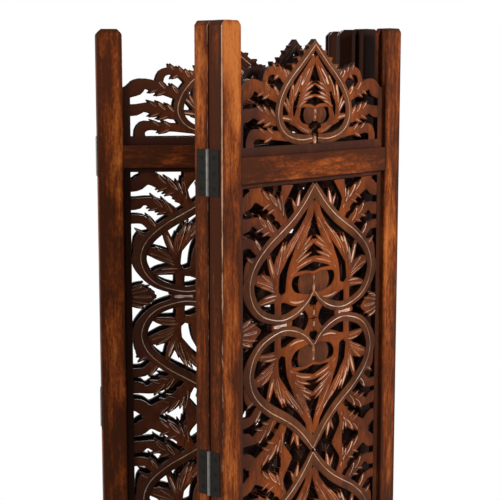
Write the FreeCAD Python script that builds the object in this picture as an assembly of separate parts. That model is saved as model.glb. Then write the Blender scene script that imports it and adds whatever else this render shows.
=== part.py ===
import FreeCAD, Part
import math
import os

# Carved folding screen of four panels, in millimetres, +Z up.
# Each panel is drawn in its own frame: x along its width from the left end,
# y from its front face to its back face, z up from the floor.

# Driving sizes of one panel
SCREEN_HEIGHT = 1829.0
PANEL_WIDTH = 508.0
POST_WIDTH = 48.0
POST_DEPTH = 28.0
RAIL_HEIGHT = 43.0
RAIL_SETBACK = 1.0
TOP_RAIL_DROP = 218.0
FOOT_HEIGHT = 60.0
POST_TOP_CHAMFER = 11.0
ARRIS = 2.2
RAIL_ARRIS = 1.5

# Grooved joinery
BOARD_DEPTH = 12.0
GROOVE_CLEARANCE = 0.4
POST_GROOVE = 8.0
RAIL_GROOVE = 6.0
END_CLEARANCE = 1.0

# Carved boards: spade leaves stand tip up and tip down in pairs
PAIR_COUNT = 3
SIDE_BORDER = 14.0
END_BORDER = 9.0
CREST_RISE = 195.0
CREST_SHOULDER = 116.0

# Butt hinges screwed to the edges of the posts
HINGE_COUNT = 4
HINGE_HEIGHT = 75.0
LEAF_WIDTH = 22.0
LEAF_THICKNESS = 1.6
LEAF_GAP = 0.4
KNUCKLE_RADIUS = 3.0
KNUCKLE_COUNT = 3
KNUCKLE_GAP = 0.3
BARREL_SIDES = 8
PIN_RADIUS = 1.5
PIN_CLEARANCE = 0.05
FACE_GAP = 2.0

# How the screen stands: turn of the third panel and the three folds, in degrees
THIRD_PANEL_TURN = 5.2
FOLD_12 = 2.6
FOLD_23 = 46.9
FOLD_34 = 7.7

# Derived sizes
AXIS_OUT = LEAF_THICKNESS + LEAF_GAP / 2
AXIS_OFF = FACE_GAP / 2
GROOVE_WIDTH = BOARD_DEPTH + GROOVE_CLEARANCE
GROOVE_FRONT = (POST_DEPTH - GROOVE_WIDTH) / 2
BOARD_FRONT = (POST_DEPTH - BOARD_DEPTH) / 2
INNER_LEFT = POST_WIDTH
INNER_RIGHT = PANEL_WIDTH - POST_WIDTH
CENTRE = PANEL_WIDTH / 2
TONGUE = POST_GROOVE - END_CLEARANCE
TOP_RAIL_TOP = SCREEN_HEIGHT - TOP_RAIL_DROP
TOP_RAIL_BOTTOM = TOP_RAIL_TOP - RAIL_HEIGHT
BOTTOM_RAIL_TOP = FOOT_HEIGHT + RAIL_HEIGHT
FIELD_BOTTOM = BOTTOM_RAIL_TOP + END_BORDER
FIELD_TOP = TOP_RAIL_BOTTOM - END_BORDER
FIELD_HALF = (INNER_RIGHT - INNER_LEFT) / 2 - SIDE_BORDER
LEAF_CELL = (FIELD_TOP - FIELD_BOTTOM) / (2 * PAIR_COUNT)
FIRST_HINGE = TOP_RAIL_TOP - RAIL_HEIGHT / 2
LAST_HINGE = BOTTOM_RAIL_TOP
HINGE_PITCH = (FIRST_HINGE - LAST_HINGE) / (HINGE_COUNT - 1)


def box(x0, x1, y0, y1, z0, z1):
    """Upright block between two opposite corners."""
    return Part.makeBox(x1 - x0, y1 - y0, z1 - z0, FreeCAD.Vector(x0, y0, z0))


def octagon(width, depth, cut):
    """Corner points of a rectangle with eased corners."""
    return [(cut, 0), (width - cut, 0), (width, cut), (width, depth - cut),
            (width - cut, depth), (cut, depth), (0, depth - cut), (0, cut)]


def outline(points, to_space):
    """Closed wire of straight edges through points."""
    corners = [to_space(point) for point in points]
    return Part.makePolygon(corners + corners[:1])


def make_post(inner_side):
    """Post with chamfered top and eased arrises, grooved on its inner side (1 right, -1 left)."""
    chamfer = POST_TOP_CHAMFER
    shoulder = SCREEN_HEIGHT - chamfer
    front = [(0, 0), (POST_WIDTH, 0), (POST_WIDTH, shoulder), (POST_WIDTH - chamfer, SCREEN_HEIGHT),
             (chamfer, SCREEN_HEIGHT), (0, shoulder)]
    elevation = Part.Face(outline(front, lambda p: FreeCAD.Vector(p[0], 0, p[1])))
    section = octagon(POST_WIDTH, POST_DEPTH, ARRIS)
    plan = Part.Face(outline(section, lambda p: FreeCAD.Vector(p[0], p[1], 0)))
    post = elevation.extrude(FreeCAD.Vector(0, POST_DEPTH, 0))
    post = post.common(plan.extrude(FreeCAD.Vector(0, 0, SCREEN_HEIGHT)))
    inner = POST_WIDTH if inner_side > 0 else 0
    groove_x = sorted((inner, inner - inner_side * POST_GROOVE))
    groove = box(groove_x[0], groove_x[1], GROOVE_FRONT, GROOVE_FRONT + GROOVE_WIDTH,
                 FOOT_HEIGHT, SCREEN_HEIGHT)
    return post.cut(groove)


def make_rail(bottom, grooved_below, grooved_above):
    """Rail with stub tenons for the post grooves and grooves for the boards it holds."""
    depth = POST_DEPTH - 2 * RAIL_SETBACK
    section = octagon(depth, RAIL_HEIGHT, RAIL_ARRIS)
    to_space = lambda p: FreeCAD.Vector(INNER_LEFT, RAIL_SETBACK + p[0], bottom + p[1])
    profile = Part.Face(outline(section, to_space))
    rail = profile.extrude(FreeCAD.Vector(INNER_RIGHT - INNER_LEFT, 0, 0))
    tenons = box(INNER_LEFT - TONGUE, INNER_RIGHT + TONGUE, BOARD_FRONT, BOARD_FRONT + BOARD_DEPTH,
                 bottom, bottom + RAIL_HEIGHT)
    rail = rail.fuse(tenons)
    grooves = []
    if grooved_below:
        grooves.append(bottom)
    if grooved_above:
        grooves.append(bottom + RAIL_HEIGHT - RAIL_GROOVE)
    for level in grooves:
        rail = rail.cut(box(INNER_LEFT - TONGUE, INNER_RIGHT + TONGUE, GROOVE_FRONT,
                            GROOVE_FRONT + GROOVE_WIDTH, level, level + RAIL_GROOVE))
    return rail.removeSplitter()


# Openings of one spade leaf, right half. Across: 0 on the axis, 1 at the border.
# Up: 0 at the waist between the two lobed ends, 1 where two tips meet.
LEAF_OPENINGS = [
    [(1.0, 0.82), (0.84, 0.885), (0.60, 0.82), (0.50, 0.72), (0.66, 0.785), (1.0, 0.79)],
    [(1.0, 0.715), (0.65, 0.69), (0.72, 0.617), (1.0, 0.65)],
    [(1.0, 0.29), (0.97, 0.205), (0.865, 0.108), (1.0, 0.07)],
    [(0.06, 0.835), (0.43, 0.62), (0.42, 0.59), (0.22, 0.69)],
    [(0.845, 0.33), (0.785, 0.20), (0.635, 0.265)],
    [(0.28, 0.56), (0.415, 0.235), (0.49, 0.235), (0.445, 0.435)],
]
# Openings beside the tips, right half: each begins and ends on the line where two tips meet
TIP_OPENINGS = [
    [(0.045, 1.0), (0.255, 0.85), (0.255, 0.95), (0.365, 0.785), (0.42, 0.79), (0.335, 1.0)],
    [(0.475, 1.0), (0.49, 0.90), (0.54, 0.91), (0.71, 1.0)],
]
# Openings on the axis of a leaf, drawn whole
AXIS_OPENINGS = [
    [(0.0, 0.715), (0.105, 0.58), (-0.105, 0.58)],
    [(0.0, 0.57), (0.17, 0.47), (-0.17, 0.47)],
    [(0.0, 0.19), (0.094, 0.09), (-0.094, 0.09)],
]
# Opening at the waist of a pair, right half
WAIST_OPENING = [(0.40, 0.0), (0.13, 0.07), (0.10, 0.0), (0.13, -0.07)]
# Crest: right half of the upper edge from the post to the apex, and the openings.
# Across: 1 at the post. Up: 0 on the rail, 1 at the apex.
CREST_EDGE = [(0.94, 0.58), (0.86, 0.65), (0.73, 0.62), (0.66, 0.73), (0.55, 0.78),
              (0.40, 0.73), (0.35, 0.83), (0.15, 0.93), (0.0, 1.0)]
CREST_OPENINGS = [
    [(0.90, 0.39), (0.74, 0.54), (0.57, 0.40)],
    [(0.90, 0.27), (0.53, 0.24), (0.90, 0.12)],
    [(0.75, 0.11), (0.37, 0.11), (0.37, 0.16)],
    [(0.27, 0.29), (0.26, 0.44), (0.16, 0.57), (0.20, 0.43)],
    [(0.37, 0.32), (0.29, 0.52), (0.40, 0.46)],
]
CREST_AXIS = [(0.0, 0.62), (0.05, 0.53), (0.0, 0.48), (-0.05, 0.53)]


def mapped(points, across, up):
    """Points of an outline scaled to size."""
    return [(across(x), up(z)) for x, z in points]


def board(edge, openings):
    """Flat board of the carved panels' depth, sawn through at every opening."""
    to_space = lambda p: FreeCAD.Vector(p[0], BOARD_FRONT, p[1])
    face = Part.Face([outline(points, to_space) for points in [edge] + openings])
    face.validate()
    return face.extrude(FreeCAD.Vector(0, BOARD_DEPTH, 0))


def both_sides(points, up):
    """An opening of the right half and its mirror image on the left."""
    return [mapped(points, lambda x, s=side: CENTRE + s * x * FIELD_HALF, up) for side in (1, -1)]


def tip_opening(points, line):
    """An opening beside the tips on one of the lines between pairs, open to the leaves on both sides of
    the line, or to the one inside the field at its two ends."""
    level = FIELD_BOTTOM + 2 * line * LEAF_CELL
    above = [(x, level + (1 - z) * LEAF_CELL) for x, z in points]
    below = [(x, level - (1 - z) * LEAF_CELL) for x, z in points]
    if line == 0:
        return above
    if line == PAIR_COUNT:
        return below
    return below + above[-2:0:-1]


def make_fretwork():
    """Main carved board: pairs of spade leaves, the lower one of each pair upside down."""
    left = INNER_LEFT - TONGUE
    right = INNER_RIGHT + TONGUE
    bottom = BOTTOM_RAIL_TOP - RAIL_GROOVE
    top = TOP_RAIL_BOTTOM + RAIL_GROOVE - END_CLEARANCE
    openings = []
    for pair in range(PAIR_COUNT):
        waist = FIELD_BOTTOM + (2 * pair + 1) * LEAF_CELL
        for way in (1, -1):
            up = lambda z, w=waist, d=way: w + d * z * LEAF_CELL
            for points in LEAF_OPENINGS:
                openings += both_sides(points, up)
            for points in AXIS_OPENINGS:
                openings.append(mapped(points, lambda x: CENTRE + x * FIELD_HALF, up))
        openings += both_sides(WAIST_OPENING, lambda z, w=waist: w + z * LEAF_CELL)
    for line in range(PAIR_COUNT + 1):
        for points in TIP_OPENINGS:
            openings += both_sides(tip_opening(points, line), lambda z: z)
    return board([(left, bottom), (right, bottom), (right, top), (left, top)], openings)


def make_crest():
    """Carved crest between the post heads: one spade leaf with leaf sprays at its sides."""
    rise = lambda z: TOP_RAIL_TOP + z * CREST_RISE
    half = (INNER_RIGHT - INNER_LEFT) / 2
    foot = TOP_RAIL_TOP - RAIL_GROOVE
    shoulder = TOP_RAIL_TOP + CREST_SHOULDER
    reach = half + TONGUE
    right = mapped(CREST_EDGE, lambda x: CENTRE + x * half, rise)
    left = mapped(CREST_EDGE, lambda x: CENTRE - x * half, rise)
    edge = [(CENTRE - reach, foot), (CENTRE + reach, foot), (CENTRE + reach, shoulder)] + right
    edge += left[-2::-1] + [(CENTRE - reach, shoulder)]
    openings = []
    for points in CREST_OPENINGS:
        openings += both_sides(points, rise)
    openings.append(mapped(CREST_AXIS, lambda x: CENTRE + x * half, rise))
    return board(edge, openings)


def knuckle_levels(outer):
    """Lower and upper end of each knuckle of the outer or the inner set, hinge centred on 0."""
    step = HINGE_HEIGHT / KNUCKLE_COUNT
    levels = []
    for index in range(KNUCKLE_COUNT):
        if (index % 2 == 0) == outer:
            low = -HINGE_HEIGHT / 2 + index * step
            high = low + step
            levels.append((low + (KNUCKLE_GAP / 2 if index else 0),
                           high - (KNUCKLE_GAP / 2 if index < KNUCKLE_COUNT - 1 else 0)))
    return levels


def barrel(radius, low, high):
    """Upright many-sided barrel about the z line, its corners at a radius."""
    step = 2 * math.pi / BARREL_SIDES
    corners = [(radius * math.cos((i + 0.5) * step), radius * math.sin((i + 0.5) * step))
               for i in range(BARREL_SIDES)]
    base = Part.Face(outline(corners, lambda p: FreeCAD.Vector(p[0], p[1], low)))
    return base.extrude(FreeCAD.Vector(0, 0, high - low))


def make_leaf(outer):
    """Hinge leaf, axis on the z line, post towards +x and +y.

    The outer knuckles grip the pin; the inner knuckle turns on it with a running clearance.
    """
    inside = AXIS_OUT
    outside = AXIS_OUT - LEAF_THICKNESS
    clear = KNUCKLE_RADIUS + KNUCKLE_GAP
    half = HINGE_HEIGHT / 2
    bore = PIN_RADIUS if outer else (PIN_RADIUS + PIN_CLEARANCE) / math.cos(math.pi / BARREL_SIDES)
    leaf = box(outside, inside, clear, AXIS_OFF + LEAF_WIDTH, -half, half)
    for low, high in knuckle_levels(outer):
        leaf = leaf.fuse(box(outside, inside, 0, clear, low, high))
        leaf = leaf.fuse(barrel(KNUCKLE_RADIUS, low, high))
        leaf = leaf.cut(barrel(bore, low, high))
    return leaf.removeSplitter()


class Panel:
    """One panel's turn about the vertical and the place of its left front corner."""

    def __init__(self, turn, corner):
        self.turn = turn
        self.corner = corner

    def to_floor(self, x, y):
        """Floor place of a point of the panel."""
        angle = math.radians(self.turn)
        return (self.corner[0] + x * math.cos(angle) - y * math.sin(angle),
                self.corner[1] + x * math.sin(angle) + y * math.cos(angle))

    def stand(self, shape):
        """Shape moved from the panel's frame to where the panel stands."""
        moved = shape.copy()
        moved.rotate(FreeCAD.Vector(0, 0, 0), FreeCAD.Vector(0, 0, 1), self.turn)
        moved.translate(FreeCAD.Vector(self.corner[0], self.corner[1], 0))
        return moved


def axis_in_panel(at_right, at_back):
    """Hinge axis in a panel's frame: just past the end and just off the front or back face."""
    x = PANEL_WIDTH + AXIS_OUT if at_right else -AXIS_OUT
    y = POST_DEPTH + AXIS_OFF if at_back else -AXIS_OFF
    return x, y


def hang(turn, axis, at_right):
    """Panel with the given turn, hung by its front side on an axis."""
    panel = Panel(turn, (0, 0))
    x, y = panel.to_floor(*axis_in_panel(at_right, False))
    panel.corner = (axis[0] - x, axis[1] - y)
    return panel


def leaf_on_panel(leaf, at_right, at_back):
    """Leaf turned to the panel's end and side and moved to the hinge axis there."""
    fitted = leaf.copy()
    origin = FreeCAD.Vector(0, 0, 0)
    if at_right:
        fitted = fitted.mirror(origin, FreeCAD.Vector(1, 0, 0))
    if at_back:
        fitted = fitted.mirror(origin, FreeCAD.Vector(0, 1, 0))
    x, y = axis_in_panel(at_right, at_back)
    fitted.translate(FreeCAD.Vector(x, y, 0))
    return fitted


def raised(shape, height):
    """Copy of a shape lifted by a height."""
    lifted = shape.copy()
    lifted.translate(FreeCAD.Vector(0, 0, height))
    return lifted


# The chain of panels: hinges alternate between left and right ends
turn_2 = THIRD_PANEL_TURN + FOLD_23
turns = [turn_2 - FOLD_12, turn_2, THIRD_PANEL_TURN, THIRD_PANEL_TURN + FOLD_34]
hinge_at_right = [False, True, False]
panels = [Panel(turns[0], (0, 0))]
for joint, at_right in enumerate(hinge_at_right):
    axis = panels[joint].to_floor(*axis_in_panel(at_right, True))
    panels.append(hang(turns[joint + 1], axis, at_right))

panel_pieces = {
    "left_post": make_post(1),
    "right_post": make_post(-1),
    "top_rail": make_rail(TOP_RAIL_BOTTOM, True, True),
    "bottom_rail": make_rail(FOOT_HEIGHT, False, True),
    "fretwork": make_fretwork(),
    "crest": make_crest(),
}
panel_pieces["right_post"].translate(FreeCAD.Vector(INNER_RIGHT, 0, 0))

nodes = {}
for number, panel in enumerate(panels, start=1):
    for piece, shape in panel_pieces.items():
        nodes["panel%d_%s" % (number, piece)] = panel.stand(shape)

outer_leaf = make_leaf(True)
inner_leaf = make_leaf(False)
pin = barrel(PIN_RADIUS, -HINGE_HEIGHT / 2, HINGE_HEIGHT / 2)
for joint, at_right in enumerate(hinge_at_right):
    holder = panels[joint]
    swinger = panels[joint + 1]
    joint_name = "hinge%d%d" % (joint + 1, joint + 2)
    pins = []
    for index in range(HINGE_COUNT):
        level = FIRST_HINGE - index * HINGE_PITCH
        name = "%s_%d" % (joint_name, index + 1)
        held = leaf_on_panel(raised(outer_leaf, level), at_right, True)
        swung = leaf_on_panel(raised(inner_leaf, level), at_right, False)
        nodes[name + "_outer_leaf"] = holder.stand(held)
        nodes[name + "_inner_leaf"] = swinger.stand(swung)
        pins.append(holder.stand(leaf_on_panel(raised(pin, level), at_right, True)))
    nodes[joint_name + "_pins"] = Part.makeCompound(pins)

# The middle of the footprint goes to the origin
bounds = Part.makeCompound(list(nodes.values())).BoundBox
shift = FreeCAD.Vector(-bounds.Center.x, -bounds.Center.y, -bounds.ZMin)
os.makedirs("parts", exist_ok=True)
for name, shape in nodes.items():
    shape.translate(shift)
    shape.exportStep("parts/%s.step" % name)
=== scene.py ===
import math

import bpy
import numpy as np
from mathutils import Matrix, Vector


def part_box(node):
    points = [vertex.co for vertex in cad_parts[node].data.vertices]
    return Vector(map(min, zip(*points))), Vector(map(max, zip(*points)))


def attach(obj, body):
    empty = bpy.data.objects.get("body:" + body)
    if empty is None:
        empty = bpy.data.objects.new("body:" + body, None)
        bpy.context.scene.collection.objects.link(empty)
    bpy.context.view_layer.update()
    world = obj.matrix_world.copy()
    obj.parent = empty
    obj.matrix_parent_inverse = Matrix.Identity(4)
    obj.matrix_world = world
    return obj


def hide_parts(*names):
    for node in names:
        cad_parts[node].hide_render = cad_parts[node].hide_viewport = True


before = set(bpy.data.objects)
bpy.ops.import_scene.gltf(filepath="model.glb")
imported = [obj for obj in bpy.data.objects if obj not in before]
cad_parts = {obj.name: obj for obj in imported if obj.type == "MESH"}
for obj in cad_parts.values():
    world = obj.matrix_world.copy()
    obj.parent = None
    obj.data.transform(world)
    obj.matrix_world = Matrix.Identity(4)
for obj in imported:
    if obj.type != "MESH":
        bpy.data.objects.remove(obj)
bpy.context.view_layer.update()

bl_info = {
    "name": "Carved Folding Screen",
    "version": (1, 0, 0),
    "blender": (4, 5, 0),
    "location": "3D View > Sidebar > Screen",
    "description": "Carved wooden folding screen with fretwork panels and butt hinges",
    "category": "Object",
}

MM = 0.001
PANEL_NUMBERS = (1, 2, 3, 4)
HINGE_LINES = ((1, 2), (2, 3), (3, 4))
HINGE_NUMBERS = (1, 2, 3, 4)

# Photograph: 500 pixels wide, focal length in pixels, camera place measured from the first
# panel's left front corner, and its turn and tilt
PHOTO_WIDTH = 500
PHOTO_FOCAL = 1226.6
CAMERA_OFFSET = (0.0273, -1.9312)
CAMERA_HEIGHT = 1.7431
CAMERA_TURN = math.radians(-0.493)
CAMERA_TILT = math.radians(8.107)
SENSOR_WIDTH = 36.0


def length(name, description, millimetres):
    """Setting for a length, its default given in millimetres."""
    return bpy.props.FloatProperty(name=name, description=description, default=millimetres * MM,
                                   unit="LENGTH")


def colour(name, description, default):
    """Setting for a colour in linear red, green and blue."""
    return bpy.props.FloatVectorProperty(name=name, description=description, default=default,
                                         subtype="COLOR")


class ScreenSizes(bpy.types.PropertyGroup):
    """Sizes of the looks that the frame does not hold."""

    arris_radius: length("Arris radius", "Rounding of the posts' long edges", 2.8)
    rail_radius: length("Rail arris radius", "Rounding of the rails' long edges", 1.8)
    head_chamfer: length("Head chamfer", "Chamfer at the top of a post", 9.0)
    foot_height: length("Foot height", "Ungrooved length at the bottom of a post", 60.0)
    groove_depth: length("Board groove depth", "Depth of the groove that holds the boards", 8.0)
    groove_width: length("Board groove width", "Width of the groove that holds the boards", 12.4)
    line_half_width: length("Incised line", "Half the width of the line cut along the bands", 0.82)
    leaf_crown: length("Leaf crown", "How far the edge of a carved leaf lies below its middle", 0.9)
    leaf_relief: length("Leaf relief", "How far the leaves lie below the bands", 0.5)
    stem_drop: length("Stem drop", "How far the plain stems lie below the fingers cut on them", 0.45)
    screw_radius: length("Screw head radius", "Radius of the hinge screws' heads", 3.3)
    knuckle_radius: length("Knuckle radius", "Radius of the hinges' barrels", 3.0)
    plate_corner: length("Hinge corner", "Rounding of the corners of a hinge leaf", 2.0)


class ScreenFinish(bpy.types.PropertyGroup):
    """Colours of the stained wood, the bare cuts and the hinges, with the painted shade, glints and screw
    shadows.
    """

    stain_dark: colour("Dark stain", "Stain in the dark blotches and pores", (0.052, 0.0140, 0.0055))
    stain_mid: colour("Stain", "Stain of the posts and rails", (0.180, 0.039, 0.0085))
    stain_light: colour("Light stain", "Stain where the wood shows through", (0.46, 0.138, 0.030))
    # Painted shade: the sawn walls, the strip edges, and the boards and post heads in the shade are darkened
    # towards this colour; it is also the darkest stain of the carving.
    dark_stain_and_shade: colour("Carved shade", "Stain of the sawn walls of the carving", (0.016, 0.006, 0.004))
    carved_leaf: colour("Carved leaves", "Stain of the carved leaves", (0.262, 0.060, 0.0125))
    carved_band: colour("Carved bands", "Stain of the bands", (0.156, 0.050, 0.0175))
    carved_red: colour("Red stain", "Stain in the red patches of the carving", (0.105, 0.0255, 0.0145))
    bare_wood: colour("Bare cuts", "Pale wood in the knife cuts", (0.72, 0.46, 0.31))
    # Painted highlight: glints on the knife cuts, standing in for the light they catch.
    painted_cut_glint: colour("Bright cuts", "Cuts that catch the light", (0.82, 0.71, 0.67))
    worn_wood: colour("Worn arrises", "Pale wood where the stain has worn off", (0.62, 0.36, 0.24))
    hinge_black: colour("Hinge", "Blackened steel of the hinges", (0.015, 0.0135, 0.0115))
    hinge_bright: colour("Rubbed hinge", "Steel where the black has rubbed off", (0.19, 0.178, 0.165))
    # The screw heads' own black, and painted shadow in their countersinks and slots.
    screw_black_and_shadow: colour("Screws", "Black round and in the hinge screws", (0.004, 0.004, 0.004))
    floor: colour("Floor", "Pale studio floor", (0.86, 0.86, 0.85))


# Panels and the frame


def node_vertices(node):
    """Corner points of a solid of the frame as an array."""
    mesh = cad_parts[node].data
    flat = np.empty(len(mesh.vertices) * 3, np.float32)
    mesh.vertices.foreach_get("co", flat)
    return flat.reshape(-1, 3).astype(float)


class PanelFrame:
    """A panel's own axes: x from its middle to the right, y from its mid-plane to the back, z up; and
    half the width between its posts."""

    def __init__(self, number):
        self.number = number
        self.body = "panel_%d" % number
        left, right = [np.mean([list(corner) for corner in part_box(self.node(post))], axis=0)
                       for post in ("left_post", "right_post")]
        self.centre = np.append((left[:2] + right[:2]) / 2, 0.0)
        along = (right - left)[:2] / np.linalg.norm((right - left)[:2])
        self.axes = np.array([[along[0], along[1], 0], [-along[1], along[0], 0], [0, 0, 1]])
        self.inner = self.local_box(self.node("right_post"))[0][0]

    def node(self, piece):
        """Name of one of the panel's wooden pieces."""
        return "panel%d_%s" % (self.number, piece)

    def to_world(self, points):
        """Points of the panel moved to where it stands: middle plus each coordinate along its axis."""
        return self.centre + points @ self.axes

    def local_box(self, node):
        """Lowest and highest corner of a solid in the panel's own axes."""
        points = (node_vertices(node) - self.centre) @ self.axes.T
        return points.min(0), points.max(0)


PANELS = {number: PanelFrame(number) for number in PANEL_NUMBERS}


# Solids as arrays


class Shape:
    """Points, four-sided faces, end faces and named values of a solid under construction."""

    def __init__(self, points, quads, ends=(), **values):
        self.points = points
        self.quads = quads
        self.ends = [list(end) for end in ends]
        self.values = values

    def mirrored(self, axis):
        """The shape reflected in one axis, with its faces turned to point outwards again."""
        flip = np.ones(3)
        flip[axis] = -1
        ends = [end[::-1] for end in self.ends]
        return Shape(self.points * flip, self.quads[:, ::-1], ends, **self.values)

    def moved(self, step):
        """The shape moved by a step."""
        return Shape(self.points + np.asarray(step), self.quads, self.ends, **self.values)


def joined(shapes):
    """Several shapes as one, their point numbers counted on."""
    starts = np.concatenate([[0], np.cumsum([len(shape.points) for shape in shapes])[:-1]]).astype(int)
    ends = [[int(start) + corner for corner in end]
            for start, shape in zip(starts, shapes) for end in shape.ends]
    values = {name: np.concatenate([shape.values[name] for shape in shapes]) for name in shapes[0].values}
    return Shape(np.concatenate([shape.points for shape in shapes]),
                 np.concatenate([shape.quads + start for start, shape in zip(starts, shapes)]),
                 ends, **values)


def ring_quads(count, around):
    """Faces between neighbouring closed rings, running round each ring and along the rings."""
    row = np.arange(count - 1)[:, None] * around
    here = np.arange(around)[None, :]
    following = (here + 1) % around
    return np.stack([row + here, row + following, row + around + following, row + around + here],
                    axis=-1).reshape(-1, 4)


def loft(rings):
    """Closed solid through rings of equal point counts, with flat ends."""
    count, around = rings.shape[:2]
    last = (count - 1) * around
    ends = [list(range(around))[::-1], list(range(last, last + around))]
    return Shape(rings.reshape(-1, 3), ring_quads(count, around), ends)


def smooth_path(points, places):
    """Cubic curve through points, read at places from 0 to 1 along it: between two points it blends
    places and slopes by the cubic Hermite weights, with slopes from the neighbouring points and steps
    of the root of the distance."""
    points = np.asarray(points, float)
    steps = np.sqrt(np.linalg.norm(np.diff(points[:, :2], axis=0), axis=1))
    knots = np.concatenate([[0], np.cumsum(steps)])
    slopes = np.gradient(points, knots, axis=0)
    place = np.asarray(places) * knots[-1]
    span = np.clip(np.searchsorted(knots, place, "right") - 1, 0, len(knots) - 2)
    width = (knots[span + 1] - knots[span])[:, None]
    t = (place - knots[span])[:, None] / width
    return ((2 * t**3 - 3 * t**2 + 1) * points[span] + (t**3 - 2 * t**2 + t) * width * slopes[span]
            + (3 * t**2 - 2 * t**3) * points[span + 1] + (t**3 - t**2) * width * slopes[span + 1])


# Shift of the grain for one seed, and the angle past which an edge is sharp
GRAIN_SHIFT = np.array([0.37, 0.11, 0.23])
SHARP_ANGLE = math.radians(30)


def make_piece(name, shape, panel, material, node, grain=(0, 1, 2), seed=0.0, stain=0.0):
    """Mesh object of a shape in a panel's axes, riding on the panel in place of a solid of the frame.

    The point attribute grain holds the panel's own coordinates, put in the order across, deep, along
    the grain, and moved by a seed so that no two pieces show the same wood. The attribute stain makes
    a piece lighter or darker than the rest; on some pieces it carries painted light and shade.
    """
    mesh = bpy.data.meshes.new(name)
    world = panel.to_world(shape.points)
    mesh.from_pydata(world.tolist(), [], shape.quads.tolist() + shape.ends)
    local = shape.points[:, list(grain)] + GRAIN_SHIFT * seed
    mesh.attributes.new("grain", "FLOAT_VECTOR", "POINT").data.foreach_set("vector", local.ravel())
    shape.values["stain"] = shape.values.get("stain", np.zeros(len(shape.points))) + stain
    for key, value in shape.values.items():
        domain = "POINT" if len(value) == len(shape.points) else "FACE"
        padded = value if domain == "POINT" else np.append(value, np.zeros(len(shape.ends)))
        mesh.attributes.new(key, "FLOAT", domain).data.foreach_set("value", padded)
    mesh.polygons.foreach_set("use_smooth", np.ones(len(mesh.polygons), bool))
    mesh.set_sharp_from_angle(angle=SHARP_ANGLE)
    mesh.materials.append(material)
    piece = bpy.data.objects.new(name, mesh)
    bpy.context.scene.collection.objects.link(piece)
    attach(piece, panel.body)
    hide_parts(node)


# Carving: every bar, leaf and band is a strip with the same section carried along a path


# Section of a strip: the largest share of a half width that its shoulder eases, the share of the crown
# lost at the shoulder, how much of the edge's painted shade the shoulder takes, and the lean of a cut's
# floor
SHOULDER_SHARE = 0.42
SHOULDER_DROP = 0.3
SHOULDER_SHADE = 0.35
CUT_LEAN = 0.3
# Paleness of a cut: the half widths at which it is full and at which it begins, the least paleness of a
# leaf's cut and that of a band's line
FULL_CUT = 2.3 * MM
FIRST_CUT = 0.25 * MM
LEAST_PALE = 0.4
LINE_PALE = 0.9


def carved_strip(path, left, right, height, crown, ease, cut=None, cut_depth=None, band=0.0, stain=0.0):
    """Closed bar along a path in the board's plane, alike on both faces.

    Across the path the section runs from the left edge over an eased shoulder to the middle and down
    to the right edge; where cut is given, the middle is a V of that half width. The front and the back
    are the section at plus and minus its height, joined by upright sawn walls.
    """
    tangent = np.gradient(path, axis=0)
    tangent /= np.linalg.norm(tangent, axis=1)[:, None]
    normal = np.stack([-tangent[:, 1], tangent[:, 0]], axis=1)
    left_ease = np.minimum(ease, SHOULDER_SHARE * left)
    right_ease = np.minimum(ease, SHOULDER_SHARE * right)
    if cut is None:
        middle = [(np.zeros(len(path)), height)]
    else:
        middle = [(cut, height), (CUT_LEAN * cut, height - cut_depth), (-cut, height)]
    edge = height - crown
    shoulder = height - SHOULDER_DROP * crown
    section = [(left, edge), (left - left_ease, shoulder), *middle, (right_ease - right, shoulder),
               (-right, edge)]
    offsets = np.stack([offset for offset, level in section], axis=1)
    heights = np.stack([level for offset, level in section], axis=1)
    rows = len(section)
    plan = path[:, None, :] + offsets[:, :, None] * normal[:, None, :]
    plan = np.concatenate([plan, plan[:, ::-1]], axis=1)
    depth = np.concatenate([-heights, heights[:, ::-1]], axis=1)
    solid = loft(np.stack([plan[..., 0], depth, plan[..., 1]], axis=-1))
    # Painted shade: the edge rows, and more faintly the shoulders, are marked to be darkened beside the
    # openings, and so are the sawn walls.
    dip = np.zeros(rows)
    dip[[0, -1]] = 1.0
    dip[[1, -2]] = SHOULDER_SHADE
    row_of_face = np.tile(np.arange(2 * rows), len(path) - 1)
    wall = np.isin(row_of_face, (rows - 1, 2 * rows - 1)).astype(float)
    pale = np.zeros(len(row_of_face))
    if cut is not None:
        in_cut = np.isin(row_of_face, (2, 3, rows + 2, rows + 3))
        deep = LINE_PALE if band else np.clip(cut.max() / FULL_CUT, LEAST_PALE, 1.0)
        pale = deep * in_cut * np.repeat(np.minimum(cut[1:], cut[:-1]) > FIRST_CUT, 2 * rows)
    solid.values = {"pale": pale, "wall": wall, "band": np.full(len(row_of_face), band),
                    "dip": np.tile(np.concatenate([dip, dip]), len(path)),
                    "stain": np.full(len(solid.points), stain)}
    return solid


# Leaves: step between samples, samples added at the ends, fewest and most samples, least half width,
# widest shoulder, largest shares of a half width for the crown and the shoulder, and the step and number
# of the layers that keep crossing leaves from lying in one plane
LEAF_STEP = 10 * MM
END_SAMPLES = 4
LEAF_SAMPLES = (5, 24)
LEAST_HALF = 0.4 * MM
LEAF_EASE = 2.4 * MM
CROWN_SHARE = 0.45
EASE_SHARE = 0.5
LAYER_STEP = 0.055 * MM
LAYERS = 9
# A leaf's knife cut: where it starts and how far it runs along the leaf, the power of its sine, its least
# half width, its largest share of the leaf's half width, and its depth for a half width of 1
CUT_START = 0.12
CUT_RUN = 0.84
CUT_POWER = 0.7
LEAST_CUT = 0.08 * MM
CUT_SHARE = 0.5
CUT_DEPTH = 0.9


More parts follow.
